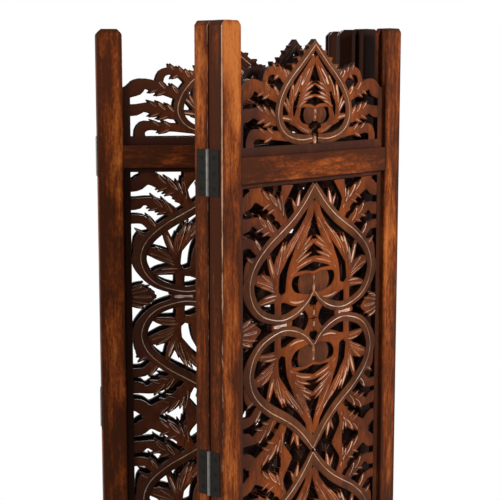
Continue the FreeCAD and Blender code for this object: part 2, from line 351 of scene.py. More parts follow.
def leaf_strip(points, cut, rank, sizes, thickness):
    """Leaf or stem: a crowned strip whose knife cut swells and dies out along it as a sine."""
    points = np.asarray(points, float) * MM
    run = np.linalg.norm(np.diff(points[:, :2], axis=0), axis=1).sum()
    places = np.linspace(0, 1, int(np.clip(run / LEAF_STEP + END_SAMPLES, *LEAF_SAMPLES)))
    path = smooth_path(points, places)
    half = np.maximum(path[:, 2], LEAST_HALF)
    drop = sizes.leaf_relief + (0.0 if cut else sizes.stem_drop) + LAYER_STEP * (rank % LAYERS)
    height = np.full(len(places), thickness / 2 - drop)
    crown = np.minimum(sizes.leaf_crown, CROWN_SHARE * half)
    ease = np.minimum(EASE_SHARE * half, LEAF_EASE)
    knife = depth = None
    if cut:
        along = np.clip((places - CUT_START) / CUT_RUN, 0, 1)
        knife = cut * MM * np.sin(np.pi * along) ** CUT_POWER + LEAST_CUT
        knife = np.minimum(knife, CUT_SHARE * half)
        depth = CUT_DEPTH * knife
    return carved_strip(path[:, :2], half, half, height, crown, ease, knife, depth)


# Bands: crown, width of the shoulder, and depth of the line for a half width of 1
BAND_CROWN = 1.0 * MM
BAND_EASE = 1.6 * MM
LINE_DEPTH = 1.1
# Borders: samples along a bar, crown, width of the shoulder, share of the bands' colour and extra stain
BAR_SAMPLES = 3
BAR_CROWN = 0.8 * MM
BAR_EASE = 1.4 * MM
BAR_BAND = 0.7
BAR_STAIN = -0.15
# Eyes: crown at the rim, rise of the dome, depth below the bands, share of the bands' colour, extra stain,
# share of a quarter turn at which the chords of half the disc begin, and their number
EYE_CROWN = 1.9 * MM
EYE_DOME = 1.2 * MM
EYE_DROP = 0.2 * MM
EYE_BAND = 0.8
EYE_STAIN = -0.07
EYE_FIRST = 0.06
EYE_CHORDS = 9


def band_strip(points, samples, sizes, thickness):
    """Flat band with a line incised along its whole length."""
    path = smooth_path(np.asarray(points, float) * MM, np.linspace(0, 1, samples))
    height = np.full(samples, thickness / 2)
    line = np.full(samples, sizes.line_half_width)
    return carved_strip(path[:, :2], path[:, 2], path[:, 3], height, BAND_CROWN, BAND_EASE, line,
                        LINE_DEPTH * line, band=1.0)


def bar(start, end, half, height):
    """Plain straight bar of a border, from one point to another."""
    path = np.linspace(start, end, BAR_SAMPLES)
    width, level = np.full(BAR_SAMPLES, half), np.full(BAR_SAMPLES, height)
    return carved_strip(path, width, width, level, BAR_CROWN, BAR_EASE, band=BAR_BAND, stain=BAR_STAIN)


def eye(x, z, radius, thickness):
    """Round domed disc: strips of the circle across its width, raised as a half ellipse."""
    turn = np.linspace(EYE_FIRST, 1, EYE_CHORDS) * np.pi / 2
    across = np.concatenate([-np.cos(turn), np.cos(turn)[-2::-1]])
    arch = np.sqrt(np.maximum(1 - across**2, 0.0))
    half = arch * radius
    path = np.stack([x + across * radius, np.full(len(across), z)], axis=1)
    rise = thickness / 2 - EYE_DROP + EYE_DOME * (arch - 1)
    return carved_strip(path, half, half, rise, EYE_CROWN * arch, EASE_SHARE * half, band=EYE_BAND,
                        stain=EYE_STAIN)


# Quarter of a pair of spade leaves, in millimetres: x from the axis, z up from the waist.
# The band: place, width outside the line, width inside it.
SPADE_BAND = [
    (0, 238, 7, 21), (30, 206, 9, 13), (60, 182, 8.5, 13), (90, 164, 8.5, 13.5), (125, 144, 8.5, 13.5),
    (158, 117, 9, 13), (172, 95, 13, 12.5), (176, 72, 18, 12), (166, 45, 12, 12), (146, 26, 9, 10.5),
    (115, 14, 7.5, 9.5), (85, 9.5, 7.5, 9.5), (50, 16, 7.5, 10.5), (20, 31, 6.5, 7.5), (3, 47, 3, 4),
]
# Leaves and stems: half width of the knife cut, 0 for none, then places with the half width there
SPADE_LEAVES = [
    # Two plumes, the root and the ring round the eye
    (0, [(98, 47, 4), (74, 52, 8), (70, 72, 8), (64, 92, 9.5), (50, 114, 11), (36, 139, 11),
        (21, 166, 9), (2, 211, 10)]),
    (0, [(88, 46, 4), (106, 56, 9), (107, 78, 9.5), (100, 102, 9), (83, 121, 8), (60, 140, 7),
        (36, 162, 6), (12, 192, 4)]),
    (0, [(11, 40, 5), (40, 42.5, 6.5), (75, 44, 5.5), (108, 47, 6)]),
    (0, [(24, 43, 4), (56, 49, 6), (69, 66, 7), (62, 82, 5), (44, 85, 3.5), (22, 85, 3), (0, 82, 2.5)]),
    # Fingers towards the axis
    (1.7, [(56, 118, 5), (32, 150, 7.5), (5, 186, 3)]),
    (1.4, [(44, 128, 5), (26, 152, 6.5), (9, 170, 2)]),
    (1.3, [(50, 120, 4), (34, 140, 5), (17, 158, 1)]),
    (1.4, [(54, 108, 5), (28, 126, 6.5), (0, 139, 4.5)]),
    (1.3, [(44, 118, 4), (24, 136, 5.5), (6, 148, 1.5)]),
    (1.5, [(58, 104, 5), (38, 117, 5.5), (15, 127, 1)]),
    (1.2, [(56, 100, 4), (38, 109, 5), (8, 119, 1.5)]),
    (1.2, [(62, 90, 5), (32, 101, 6.5), (0, 107, 5)]),
    (1.5, [(70, 80, 6), (56, 90, 5), (36, 95, 0.8)]),
    # Fingers towards the band
    (3.0, [(90, 106, 3.5), (58, 140, 7), (24, 175, 1)]),
    (1.6, [(94, 98, 3), (68, 132, 6), (40, 163, 1)]),
    (4.0, [(98, 92, 4), (76, 126, 8), (50, 157, 1.5)]),
    (1.5, [(101, 88, 3), (83, 122, 5.5), (62, 147, 1)]),
    (3.0, [(104, 82, 4), (92, 116, 7), (77, 145, 1)]),
    (3.2, [(107, 76, 5), (99, 112, 7.5), (86, 145, 1.5)]),
    (2.6, [(108, 76, 5), (107, 98, 7), (104, 123, 1)]),
    (2.2, [(107, 74, 6), (117, 100, 7.5), (127, 126, 5)]),
    (0, [(102, 68, 8), (119, 75, 11), (134, 81, 12.5), (150, 86, 10), (170, 90, 5)]),
    (1.6, [(104, 64, 3), (128, 84, 6), (148, 97, 1)]),
    (1.7, [(100, 60, 4), (130, 77, 7), (164, 87, 1)]),
    (1.2, [(104, 58, 3), (130, 71, 4), (150, 76, 1)]),
    (0, [(98, 49, 7), (124, 50, 7.5), (140, 48.5, 6.5), (157, 43, 3)]),
    (1.3, [(96, 49, 4), (124, 48, 5), (154, 44, 1)]),
    (1.2, [(98, 54, 3), (120, 55, 4), (142, 53, 1)]),
    (0, [(100, 46, 10), (100, 30, 8.5), (100, 14, 10)]),
    (1.5, [(80, 43, 4), (50, 35, 6), (20, 36, 3)]),
    # Sprays between the band and the border, each ending in a round lobe
    (0, [(75, 246, 17), (80, 232, 11.5), (88, 216, 7.5), (95, 199, 9), (101, 182, 9)]),
    (2.3, [(50.7, 180, 8), (47.5, 203, 8.5), (41.1, 230, 1)]),
    (1.4, [(46.4, 190, 5), (55, 204, 5), (63.5, 218, 1)]),
    (0, [(80.6, 174, 10), (92.4, 192, 12), (104.2, 203, 13), (116, 211, 13), (128.8, 218, 12),
        (142.7, 223, 11), (155.6, 228, 10), (166.2, 228, 11.5), (176.9, 222, 13.5), (187.7, 217, 12),
        (200, 217, 11.5)]),
    (0, [(159.8, 226, 12), (159.8, 236, 15), (159.8, 246, 18)]),
    (2.6, [(84.9, 184, 6), (90.3, 206, 7), (93.5, 232, 1)]),
    (2.0, [(91.3, 196, 5), (98.8, 211, 5.5), (103.1, 226, 1)]),
    (2.8, [(99.9, 204, 6), (113.8, 219, 7), (126.7, 234, 1)]),
    (1.4, [(121.3, 217, 5), (134.2, 228, 6), (143.8, 239, 1)]),
    (0.8, [(119.2, 214, 4), (132, 210, 4), (142.7, 204, 0.8)]),
    (0.8, [(106.3, 204, 4), (119.2, 201, 4), (129.9, 196, 0.8)]),
    (0, [(102, 155, 9), (117, 167, 10.5), (132, 174, 11), (144.8, 180, 11), (157.7, 184.5, 9.5),
        (168.4, 186.5, 7), (178, 182.5, 10.5), (189.8, 181, 11.5), (200, 181, 11.5)]),
    (2.6, [(109.5, 160, 5), (122.4, 175, 6.5), (132, 191, 1)]),
    (2.6, [(127.7, 171, 5), (142.7, 184, 6), (153.4, 198, 1)]),
    (0.8, [(136.3, 175, 4), (148.1, 172, 4), (160.9, 168, 0.8)]),
    (0.8, [(121.3, 167, 4), (133.1, 164, 4), (143.8, 160, 0.8)]),
    (0, [(142.7, 127, 8), (157.7, 140, 8.5), (170.5, 150, 8), (185.5, 152, 8.5), (200, 151, 8.5)]),
    (2.4, [(143.8, 134, 5), (154.5, 147, 5.5), (163, 159, 1)]),
    (0, [(153.4, 119, 8), (168.4, 119, 6.5), (179.1, 115, 7), (183.4, 99, 6.5), (182.3, 82, 8)]),
    (1.4, [(158.8, 118, 4), (171.6, 121, 5), (184.4, 130, 1)]),
    # Palmette on the border at the waist
    (0, [(200, 6, 13), (184, 7, 13), (168, 5.5, 11), (146, 1, 1)]),
    (2.0, [(199, 12, 5), (184, 17, 5.5), (169, 23, 1.5)]),
    (1.4, [(199, 6, 4), (180, 10, 4.5), (156, 15, 1)]),
    (1.3, [(197, 1, 3), (176, 1, 4), (148, 1, 1)]),
    # Petal of the knot on the axis
    (0, [(7.5, 1, 7), (8, 7, 8), (9.5, 13, 9.5), (12, 20, 11.5)]),
    (0, [(12, 13, 5), (19, 18, 5), (27, 22, 2)]),
    (0, [(8, 15, 5), (14, 22, 5.5), (20, 30, 5)]),
    (1.5, [(1, 2, 3), (1.5, 10, 3.5), (1, 19, 2)]),
    # Bar between two leaves at the waist, cleft between the eyes
    (2.6, [(62, 1, 3.5), (90, 1, 4.5), (118, 1, 3.5)]),
    (1.5, [(1, 40, 3), (1.5, 60, 3.5), (1, 82, 2.5)]),
]
# The eye: place and radius; height of the quarter; widths of the borders at the sides and the ends that
# show beside the posts and at the rails; samples along the band
SPADE_EYE = (22.5, 66.5, 22.5)
SPADE_CELL = 242
SPADE_BORDER = 13
END_BORDER = 13
SPADE_SAMPLES = 64

# Right half of a crest, in the same way: x from the axis, z up from the rail
CREST_BAND = [
    (-5, 189, 6.5, 7), (20, 167, 8, 8), (40, 150, 8.5, 8), (60, 134, 8.5, 8.5), (79, 116, 8, 9),
    (93, 97, 8, 10.5), (101, 76, 8, 11.5), (101, 60, 8, 11.5), (93, 44, 8, 11), (79, 33, 8.5, 10),
    (58, 26, 9, 9), (34, 23, 8, 9), (8, 25, 8, 6),
]
CREST_LEAVES = [
    # Two plumes, the root and the ring round the eye
    (0, [(62, 52, 5), (51, 60, 7), (45, 76, 6), (37, 95, 6.5), (27, 114, 7), (15, 138, 6.5),
        (2, 164, 7)]),
    (0, [(56, 50, 4), (66, 60, 7), (67, 82, 6.5), (59, 103, 6), (44, 120, 5.5), (27, 138, 5),
        (8, 160, 3)]),
    (0, [(10, 35, 4), (30, 42, 5), (52, 50, 5), (70, 56, 5)]),
    (0, [(18, 44, 4), (40, 49, 5), (49, 64, 5.5), (44, 78, 4), (30, 81, 3), (12, 80, 3), (0, 77, 2)]),
    # Fingers towards the axis
    (1.5, [(38, 106, 5), (21, 127, 6), (3, 154, 2)]),
    (1.3, [(40, 101, 5), (25, 114, 4.5), (8, 122, 0.8)]),
    (1.3, [(42, 95, 5), (26, 107, 4.5), (0, 118, 1.5)]),
    (1.3, [(43, 89, 5), (28, 98, 4.5), (9, 105, 0.8)]),
    (1.2, [(45, 84, 5), (30, 92, 4.5), (0, 98, 2)]),
    (1.2, [(50, 76, 4), (37, 85, 4), (22, 89, 0.8)]),
    # Fingers towards the band
    (2.6, [(46, 106, 4), (31, 126, 5.5), (12, 150, 1)]),
    (3.0, [(60, 92, 5), (50, 112, 6.5), (36, 137, 1)]),
    (3.4, [(67, 80, 6), (64, 98, 7.5), (62, 122, 1.5)]),
    (1.4, [(66, 72, 5), (74, 84, 5), (82, 98, 1)]),
    (1.8, [(66, 66, 5), (76, 78, 5), (92, 92, 1.5)]),
    (1.6, [(58, 56, 5), (76, 60, 5.5), (96, 62, 3)]),
    (1.4, [(50, 48, 4), (32, 40, 5), (12, 34, 3)]),
    # Fringe outside the band
    (0, [(6, 176, 6), (12, 180, 5), (18, 182, 0.8)]),
    (0, [(20, 164, 6), (27, 170, 6), (33, 174, 0.8)]),
    (0, [(35, 152, 6), (43, 158, 6), (50, 162, 0.8)]),
    (0.8, [(51, 139, 6), (59, 146, 6), (66, 151, 0.8)]),
    (1.2, [(66, 127, 6), (74, 135, 6), (80, 142, 0.8)]),
    # Sprays at the side, each ending in a round lobe
    (0, [(76.4, 121.4, 9.7), (91.4, 134.2, 8.6), (106.4, 139.5, 7.6), (119.2, 140, 7),
        (129.9, 135.3, 7), (135.3, 123.5, 7), (136.4, 106.5, 9.7)]),
    (2.4, [(76.4, 125.7, 5.4), (82.9, 135.3, 5.9), (88.2, 144.8, 1)]),
    (1.4, [(90.3, 134.2, 5.4), (95.7, 141.6, 4.9), (100, 150.2, 1)]),
    (1.4, [(105.3, 138.4, 5.4), (111.8, 145.9, 4.9), (117.1, 154.4, 1)]),
    (1.2, [(97.8, 134.2, 4.3), (106.4, 129.9, 4.3), (112.8, 124.6, 0.8)]),
    (0, [(89.3, 91.6, 10.8), (117.1, 101.2, 9.7), (136.4, 107.6, 10.3), (150.3, 112.9, 10.8),
        (163.1, 116.6, 9.7), (171.7, 114, 13), (180.2, 108.6, 15.1), (192, 102.2, 11.9),
        (200, 99, 10.8)]),
    (2.4, [(97.8, 95.8, 5.4), (106.4, 105.4, 5.9), (113.9, 117.1, 1)]),
    (2.2, [(121.4, 103.3, 5.4), (131, 114, 6.5), (139.6, 124.6, 1)]),
    (1.2, [(136.4, 106.5, 4.3), (146, 103.3, 4.3), (156.7, 98, 0.8)]),
    (1.2, [(121.4, 102.2, 4.3), (133.2, 98, 4.3), (143.8, 92.7, 0.8)]),
    (0, [(91.4, 55.4, 8.6), (121.4, 60.7, 10.8), (140.6, 67.1, 11.3), (155.6, 70.3, 10.3),
        (167.4, 70.8, 8.1), (179.2, 67.1, 10.3), (192, 66, 10.8), (200, 66, 10.8)]),
    (1.6, [(104.3, 59.6, 5.4), (115, 69.2, 5.4), (123.5, 79.9, 1)]),
    (1.8, [(121.4, 63.9, 5.4), (132.1, 73.5, 5.9), (141.7, 84.1, 1)]),
    (1.4, [(138.5, 70.3, 5.4), (149.2, 77.7, 5.4), (158.8, 85.2, 1)]),
    (1.0, [(134.2, 61.8, 4.3), (146, 57.5, 4.3), (157.8, 53.2, 0.8)]),
    (1.0, [(117.1, 56.4, 4.3), (128.9, 52.2, 4.3), (141.7, 47.9, 0.8)]),
    (0, [(72.2, 29.8, 8.6), (110.7, 33, 7.6), (134.2, 34.1, 8.1), (153.5, 36.7, 8.1),
        (166.3, 35.1, 9.7), (173.8, 26.6, 9.7), (173.8, 11.7, 10.8)]),
    (1.2, [(112.8, 33, 4.3), (122.5, 40.5, 4.3), (132.1, 46.9, 0.8)]),
    (1.2, [(134.2, 35.1, 4.3), (143.8, 41.5, 4.3), (153.5, 47.9, 0.8)]),
    (1.2, [(115, 31.9, 4.3), (127.8, 26.6, 4.3), (139.6, 21.3, 0.8)]),
    # Cleft between the eyes and drop below them
    (1.7, [(1, 54, 3), (1.5, 66, 4), (1, 79, 3)]),
    (2.0, [(1, 11, 2), (1.5, 21, 4.5), (1, 32, 2)]),
]
CREST_EYE = (17, 65, 15.5)
CREST_BORDER = 15.5
CREST_SIDE = 14
CREST_SIDE_HEIGHT = 110
CREST_SAMPLES = 52


# Borders lie below the bands, and those across the board a little lower still. The stain of the leaves
# darkens from one distance off the axis over a run towards the frame.
BORDER_DROP = 0.35 * MM
CROSSING_DROP = 0.1 * MM
SHADE_START = 85.5 * MM
SHADE_RUN = 90 * MM
SHADE_STAIN = 0.09


def carved_half(band, samples, leaves, disc, top, sizes, thickness):
    """Band, leaves and eye of one side of the axis, trimmed to the axis and to the cell, the stain
    darker towards the frame."""
    shapes = [leaf_strip(points, cut, rank, sizes, thickness) for rank, (cut, points) in enumerate(leaves)]
    shapes.append(band_strip(band, samples, sizes, thickness))
    shapes.append(eye(*np.multiply(disc, MM), thickness))
    half = joined(shapes)
    half.points[:, 0] = np.maximum(half.points[:, 0], 0)
    half.points[:, 2] = np.clip(half.points[:, 2], 0, top)
    shade = np.clip((half.points[:, 0] - SHADE_START) / SHADE_RUN, 0, 1)
    half.values["stain"] = half.values["stain"] - SHADE_STAIN * shade
    return half


def fretwork_shape(low, high, inner, bottom, top, sizes):
    """Main board: the quarter pattern mirrored about the axis and the waist, set in pairs from the
    bottom to the top of the opening, with borders along the posts and rails."""
    thickness = high[1] - low[1]
    cell = SPADE_CELL * MM
    pairs = round((top - bottom) / (2 * cell))
    quarter = carved_half(SPADE_BAND, SPADE_SAMPLES, SPADE_LEAVES, SPADE_EYE, cell, sizes, thickness)
    half = joined([quarter, quarter.mirrored(0)])
    pair = joined([half, half.mirrored(2)])
    span = (top - bottom) / pairs
    pair.points[:, 2] *= span / (2 * cell)
    shapes = [pair.moved((0, 0, bottom + (index + 0.5) * span)) for index in range(pairs)]
    half_side = (high[0] - inner + SPADE_BORDER * MM) / 2
    edge = thickness / 2 - BORDER_DROP
    for x in (half_side - high[0], high[0] - half_side):
        shapes.append(bar((x, low[2]), (x, high[2]), half_side, edge))
    half_end = END_BORDER * MM / 2
    for z in (low[2] + half_end, high[2] - half_end):
        shapes.append(bar((low[0], z), (high[0], z), half_end, edge - CROSSING_DROP))
    return joined(shapes)


def crest_shape(low, high, inner, rail_top, sizes):
    """Crest board: half pattern mirrored about the axis, on a plain border along the rail, between
    borders along the posts."""
    thickness = high[1] - low[1]
    top = high[2] - rail_top
    half = carved_half(CREST_BAND, CREST_SAMPLES, CREST_LEAVES, CREST_EYE, top, sizes, thickness)
    shapes = [joined([half, half.mirrored(0)]).moved((0, 0, rail_top))]
    edge = thickness / 2 - BORDER_DROP
    half_end = (rail_top + CREST_BORDER * MM - low[2]) / 2
    z = low[2] + half_end
    shapes.append(bar((low[0], z), (high[0], z), half_end, edge))
    half_side = (high[0] - inner + CREST_SIDE * MM) / 2
    side_top = rail_top + CREST_SIDE_HEIGHT * MM
    for x in (half_side - high[0], high[0] - half_side):
        shapes.append(bar((x, low[2]), (x, side_top), half_side, edge - CROSSING_DROP))
    return joined(shapes)


# Posts and rails


# Wear, stain and painted light and shade of a post: lengths below the head over which the head's painted
# light and shade, the outer end's painted shade and the extra wear of the front arris fade; share of the
# head's painted light and shade that the outer end is spared; the darker rim of an arris and of the
# chamfer; wear of the other arrises, and the wear that does not fade
HEAD_LIGHT_AND_SHADE_REACH = 0.26
END_SHADE_REACH = 2.0
WORN_HEIGHT = 0.7
SPARED_END = 0.7
RIM_STAIN = 0.06
CHAMFER_STAIN = 0.10
BACK_WEAR = 0.5
INNER_WEAR = 0.7
STEADY_WEAR = 0.75
RAIL_WEAR = 0.55
# Reach of the outer end's painted shade round its arrises, the share of it that is left far down, and how
# far the gold patch reaches past the middle as a share of half the width
END_REACH = 1.2 * MM
LEAST_END = 0.2
GOLD_REACH = 0.35
# Sections: points round a corner, width in radii of the strip beside an arris, and the power of the arch of
# its wear
CORNER_POINTS = 7
ARRIS_STRIP = 3.2
ARRIS_POWER = 0.6
RAIL_STRIP = 3.0
RAIL_POWER = 1
# Rings of a post: eased edge at its ends; height of the first ring of the foot and number up to the groove;
# step in which the groove begins; distances of the grooved length's rings from the foot and the shoulder and
# their number; rings round the shoulder, where the chamfer begins, and how softly it does. Rings of a rail.
END_EASE = 0.8 * MM
FOOT_FIRST = 8 * MM
FOOT_RINGS = 4
GROOVE_STEP = 0.1 * MM
GROOVED_FIRST = 20 * MM
GROOVED_LAST = 6 * MM
GROOVED_RINGS = 56
SHOULDER_RINGS = np.linspace(-3, 3, 7) * MM
SHOULDER_SOFTNESS = 1 * MM
RAIL_RINGS = 30


def rounded_corner(x, y, radius, start):
    """Quarter circle about a corner's centre, from a start angle in quarter turns."""
    angle = (start + np.linspace(0, 1, CORNER_POINTS)) * np.pi / 2
    return np.stack([x + radius * np.cos(angle), y + radius * np.sin(angle)], axis=1)


def section_points(runs, power):
    """Points of a section's runs and the wear of each: along a run it follows a power of a sine arch."""
    points = np.concatenate([np.asarray(run, float) for run, value in runs])
    arches = [np.sin(np.linspace(0, 1, len(run)) * np.pi) ** power for run, value in runs]
    return points, np.concatenate([value * arch for arch, (run, value) in zip(arches, runs)])


def post_section(half_width, half_depth, arris, sizes):
    """Section of a post, counter-clockwise from the groove: a rounded rectangle notched at +x.

    Returns the points, how much of the wear each takes, which lie on an arris and which on the groove's
    floor.
    """
    radius = sizes.arris_radius
    x, y = half_width - radius, half_depth - radius
    notch = half_width - sizes.groove_depth
    half_groove = sizes.groove_width / 2
    strip = ARRIS_STRIP * radius
    runs = [
        ([(notch, half_groove), (half_width, half_groove), (half_width, half_depth - strip)], 0),
        (rounded_corner(x, y, radius, 0), BACK_WEAR),
        ([(half_width - strip, half_depth), (0, half_depth), (strip - half_width, half_depth)], 0),
        (rounded_corner(-x, y, radius, 1), BACK_WEAR),
        ([(-half_width, half_depth - strip), (-half_width, strip - half_depth)], 0),
        (rounded_corner(-x, -y, radius, 2), arris),
        ([(strip - half_width, -half_depth), (0, -half_depth), (half_width - strip, -half_depth)], 0),
        (rounded_corner(x, -y, radius, 3), INNER_WEAR),
        ([(half_width, strip - half_depth), (half_width, -half_groove), (notch, -half_groove)], 0),
    ]
    points, wear = section_points(runs, ARRIS_POWER)
    rim = np.concatenate([np.full(len(run), float(value > 0)) for run, value in runs])
    floor = np.zeros(len(points), bool)
    floor[[0, -1]] = True
    return points, wear, rim, floor


def post_shape(low, high, inner_side, look, sizes):
    """Post: its section carried up the height, the head drawn in by the chamfer, the groove begun
    above the foot. Its outer end takes painted shade, its head painted light on the posts in front and
    painted shade on those behind panel 1, a gold patch on the inner half of its front a stain of its own,
    and its front arris its own wear."""
    half = (high - low) / 2
    section, wear, rim, floor = post_section(half[0], half[1], look["arris"], sizes)
    foot, shoulder, top = low[2] + sizes.foot_height, high[2] - sizes.head_chamfer, high[2]
    levels = np.concatenate([
        [low[2], low[2] + END_EASE], np.linspace(low[2] + FOOT_FIRST, foot, FOOT_RINGS),
        [foot + GROOVE_STEP],
        np.linspace(foot + GROOVED_FIRST, shoulder - GROOVED_LAST, GROOVED_RINGS),
        shoulder + SHOULDER_RINGS, [top - END_EASE, top]])
    limit = half[0] - SHOULDER_SOFTNESS * np.log1p(np.exp((levels - shoulder) / SHOULDER_SOFTNESS))
    inset = np.where((levels >= top) | (levels <= low[2]), END_EASE, 0.0)
    x = np.where(floor[None, :] & (levels <= foot)[:, None], half[0], section[None, :, 0])
    y = section[None, :, 1] * ((half[1] - inset) / half[1])[:, None]
    limit = (limit - inset)[:, None]
    z = np.broadcast_to(levels[:, None], x.shape)
    solid = loft(np.stack([np.clip(x, -limit, limit), y, z], axis=-1))
    below = (top - levels)[:, None]
    chamfer = np.clip(1 - below / sizes.head_chamfer, 0, 1)
    outer_end = np.clip((-section[:, 0] - half[0] + END_REACH) / END_REACH, 0, 1)[None, :]
    # The head takes painted light from above on the posts in front and painted shade on the posts behind
    # panel 1; the outer end takes painted shade.
    head = look["head"] * np.clip(1 - below / HEAD_LIGHT_AND_SHADE_REACH, 0, 1) * (1 - SPARED_END * outer_end)
    end = look["end"] * np.clip(1 - below / END_SHADE_REACH, LEAST_END, 1) * outer_end
    depth, spread, strength = look["gold"]
    inner_front = (np.clip(section[:, 0] / half[0] + GOLD_REACH, 0, 1) * (section[:, 1] < 0))[None, :]
    gold = strength * np.exp(-((below - depth) / spread) ** 2) * inner_front
    stain = head + end + gold - RIM_STAIN * rim - CHAMFER_STAIN * chamfer
    fading = np.maximum(wear - STEADY_WEAR, 0) * np.clip(1 - below / WORN_HEIGHT, 0, 1)
    edge = np.minimum(wear, STEADY_WEAR) + fading
    solid.values = {"edge": edge.ravel(), "stain": stain.ravel()}
    if inner_side < 0:
        solid = solid.mirrored(0)
    return solid.moved((low + high) / 2 * np.array([1, 1, 0]))


def rail_shape(low, high, sizes):
    """Rail: a rounded rectangle carried from post to post."""
    half = (high - low) / 2
    radius = sizes.rail_radius
    corner_y, corner_z = half[1] - radius, half[2] - radius
    strip = RAIL_STRIP * radius
    section, wear = section_points([
        (rounded_corner(corner_y, corner_z, radius, 0), RAIL_WEAR),
        ([(half[1] - strip, half[2]), (strip - half[1], half[2])], 0),
        (rounded_corner(-corner_y, corner_z, radius, 1), RAIL_WEAR),
        ([(-half[1], half[2] - strip), (-half[1], 0), (-half[1], strip - half[2])], 0),
        (rounded_corner(-corner_y, -corner_z, radius, 2), RAIL_WEAR),
        ([(strip - half[1], -half[2]), (half[1] - strip, -half[2])], 0),
        (rounded_corner(corner_y, -corner_z, radius, 3), RAIL_WEAR),
        ([(half[1], strip - half[2]), (half[1], 0), (half[1], half[2] - strip)], 0),
    ], RAIL_POWER)
    stations = np.linspace(-half[0], half[0], RAIL_RINGS)
    x, y = np.broadcast_arrays(stations[:, None], section[:, 0])
    z = np.broadcast_to(section[:, 1], x.shape)
    solid = loft(np.stack([x, y, z], axis=-1))
    solid.values = {"edge": np.broadcast_to(wear, x.shape).ravel()}
    return solid.moved((low + high) / 2)


# Hinges


# Leaf of a hinge: depth of its inner face behind the axis, thickness, eased edge, slit beside the
# knuckles, bore for the pin, eased rim of a knuckle, play at its ends, corner and edge of a tongue
LEAF_DEPTH = 1.8 * MM
LEAF_THICKNESS = 1.6 * MM
PLATE_EASE = 0.25 * MM
KNUCKLE_SLIT = 0.3 * MM
PIN_BORE = 1.55 * MM
KNUCKLE_EASE = 0.35 * MM
KNUCKLE_PLAY = 0.15 * MM
TONGUE_CORNER = 0.2 * MM
TONGUE_EASE = 0.1 * MM
# Start of a tongue in knuckle radii, and the shares of rubbed steel of a knuckle, a tongue and a pin
TONGUE_START = 0.55
KNUCKLE_RUB = 1.0
TONGUE_RUB = 0.3
PIN_RUB = 0.8
# Screws: places along half the leaf, width of the slot, height of the head, and rim and height of the dark
# disc under the head that is painted shadow for the countersink and the slot
SCREW_PLACES = (-0.66, 0.0, 0.66)
SCREW_SLOT = 0.9 * MM
SCREW_RISE = 0.15 * MM
SHADOW_DISC_RIM = 0.45 * MM
SHADOW_DISC_RISE = 0.05 * MM
# Heads: chords over half a head, half the last chord and the start of the low rim in radii, height of the
# rim as a share of the head's, width of the step at the ends of a chord, and share of the screws' black
HEAD_CHORDS = 8
LAST_CHORD = 0.1
RIM_START = 0.85
RIM_RISE = 0.4
RIM_WIDTH = 0.2 * MM
HEAD_BLACK = 0.45
# Pins: height of the dome, levels of its circles as shares of that, and their radii as shares of the pin's
PIN_DOME = 0.5 * MM
PIN_LEVELS = np.array([0, 0.2, 1])
PIN_RADII = np.array([0.4, 0.85, 1])
# Sides of the circles of the knuckles, the shadow discs under the screws and the pins
KNUCKLE_SIDES = 28
SHADOW_DISC_SIDES = 24
PIN_SIDES = 20
# The frame's barrels are eight-sided: distance of a side from the axis for a corner at 1
SIDE_OF_EIGHT = math.cos(math.pi / 8)


def circle(sides):
    """Points of a circle of radius 1, as one row for each side."""
    angle = np.arange(sides) * 2 * np.pi / sides
    return np.stack([np.cos(angle), np.sin(angle)], axis=1)


def turned(section, sides):
    """Ring turned about the z line: a closed section of radii and levels, repeated round the circle."""
    section = np.asarray(section, float)
    plan = circle(sides)[:, None, :] * section[None, :, :1]
    level = np.broadcast_to(section[None, :, 1:], plan.shape[:2] + (1,))
    count = len(section)
    quads = ring_quads(sides + 1, count) % (sides * count)
    return Shape(np.concatenate([plan, level], axis=-1).reshape(-1, 3), quads)


def turned_solid(radii, levels, sides):
    """Solid turned about the z line: circles of the given radii at the given levels."""
    plan = np.asarray(radii, float)[:, None, None] * circle(sides)
    level = np.broadcast_to(np.asarray(levels, float)[:, None, None], plan.shape[:2] + (1,))
    return loft(np.concatenate([plan, level], axis=-1))


def plate(low, high, corner, ease):
    """Flat plate across x, its corners at high y rounded: one outline at the inner face and at the start
    of the eased edge, and one drawn in by the ease at the outer face at low x."""
    rings = []
    for x, inset in ((low[0], ease), (low[0] + ease, 0), (high[0], 0)):
        reach = corner - inset
        y_low, y_high = low[1] + inset, high[1] - inset
        z_low, z_high = low[2] + inset, high[2] - inset
        outline = np.concatenate([
            [(y_low, z_low)], rounded_corner(y_high - reach, z_low + reach, reach, 3),
            rounded_corner(y_high - reach, z_high - reach, reach, 0), [(y_low, z_high)]])
        rings.append(np.column_stack([np.full(len(outline), x), outline]))
    return loft(np.array(rings))


def screw_half(radius, slot, rise):
    """Half of a flat slotted head on the y and z plane, rising towards low x: chords of its circle
    from the slot to the rim, each stepped in at its ends."""
    across = slot / 2 + (radius - slot / 2) * np.sin(np.linspace(0, 1, HEAD_CHORDS) * np.pi / 2)
    half = np.sqrt(np.maximum(radius**2 - across**2, (LAST_CHORD * radius) ** 2))
    zero = np.zeros(HEAD_CHORDS)
    step = np.full(HEAD_CHORDS, -RIM_RISE * rise)
    top = np.where(across > RIM_START * radius, step, -rise)
    inner = half - RIM_WIDTH
    section = ((zero, -half), (step, -half), (top, -inner), (top, inner), (step, half), (zero, half))
    return loft(np.stack([np.stack([x, across, z], axis=1) for x, z in section], axis=1))


def marked(shape, rub, head):
    """The shape with its share of rubbed steel and of the screws' black and painted shadow at every point.
    """
    count = len(shape.points)
    shape.values = {"rub": np.full(count, float(rub)), "head": np.full(count, float(head))}
    return shape


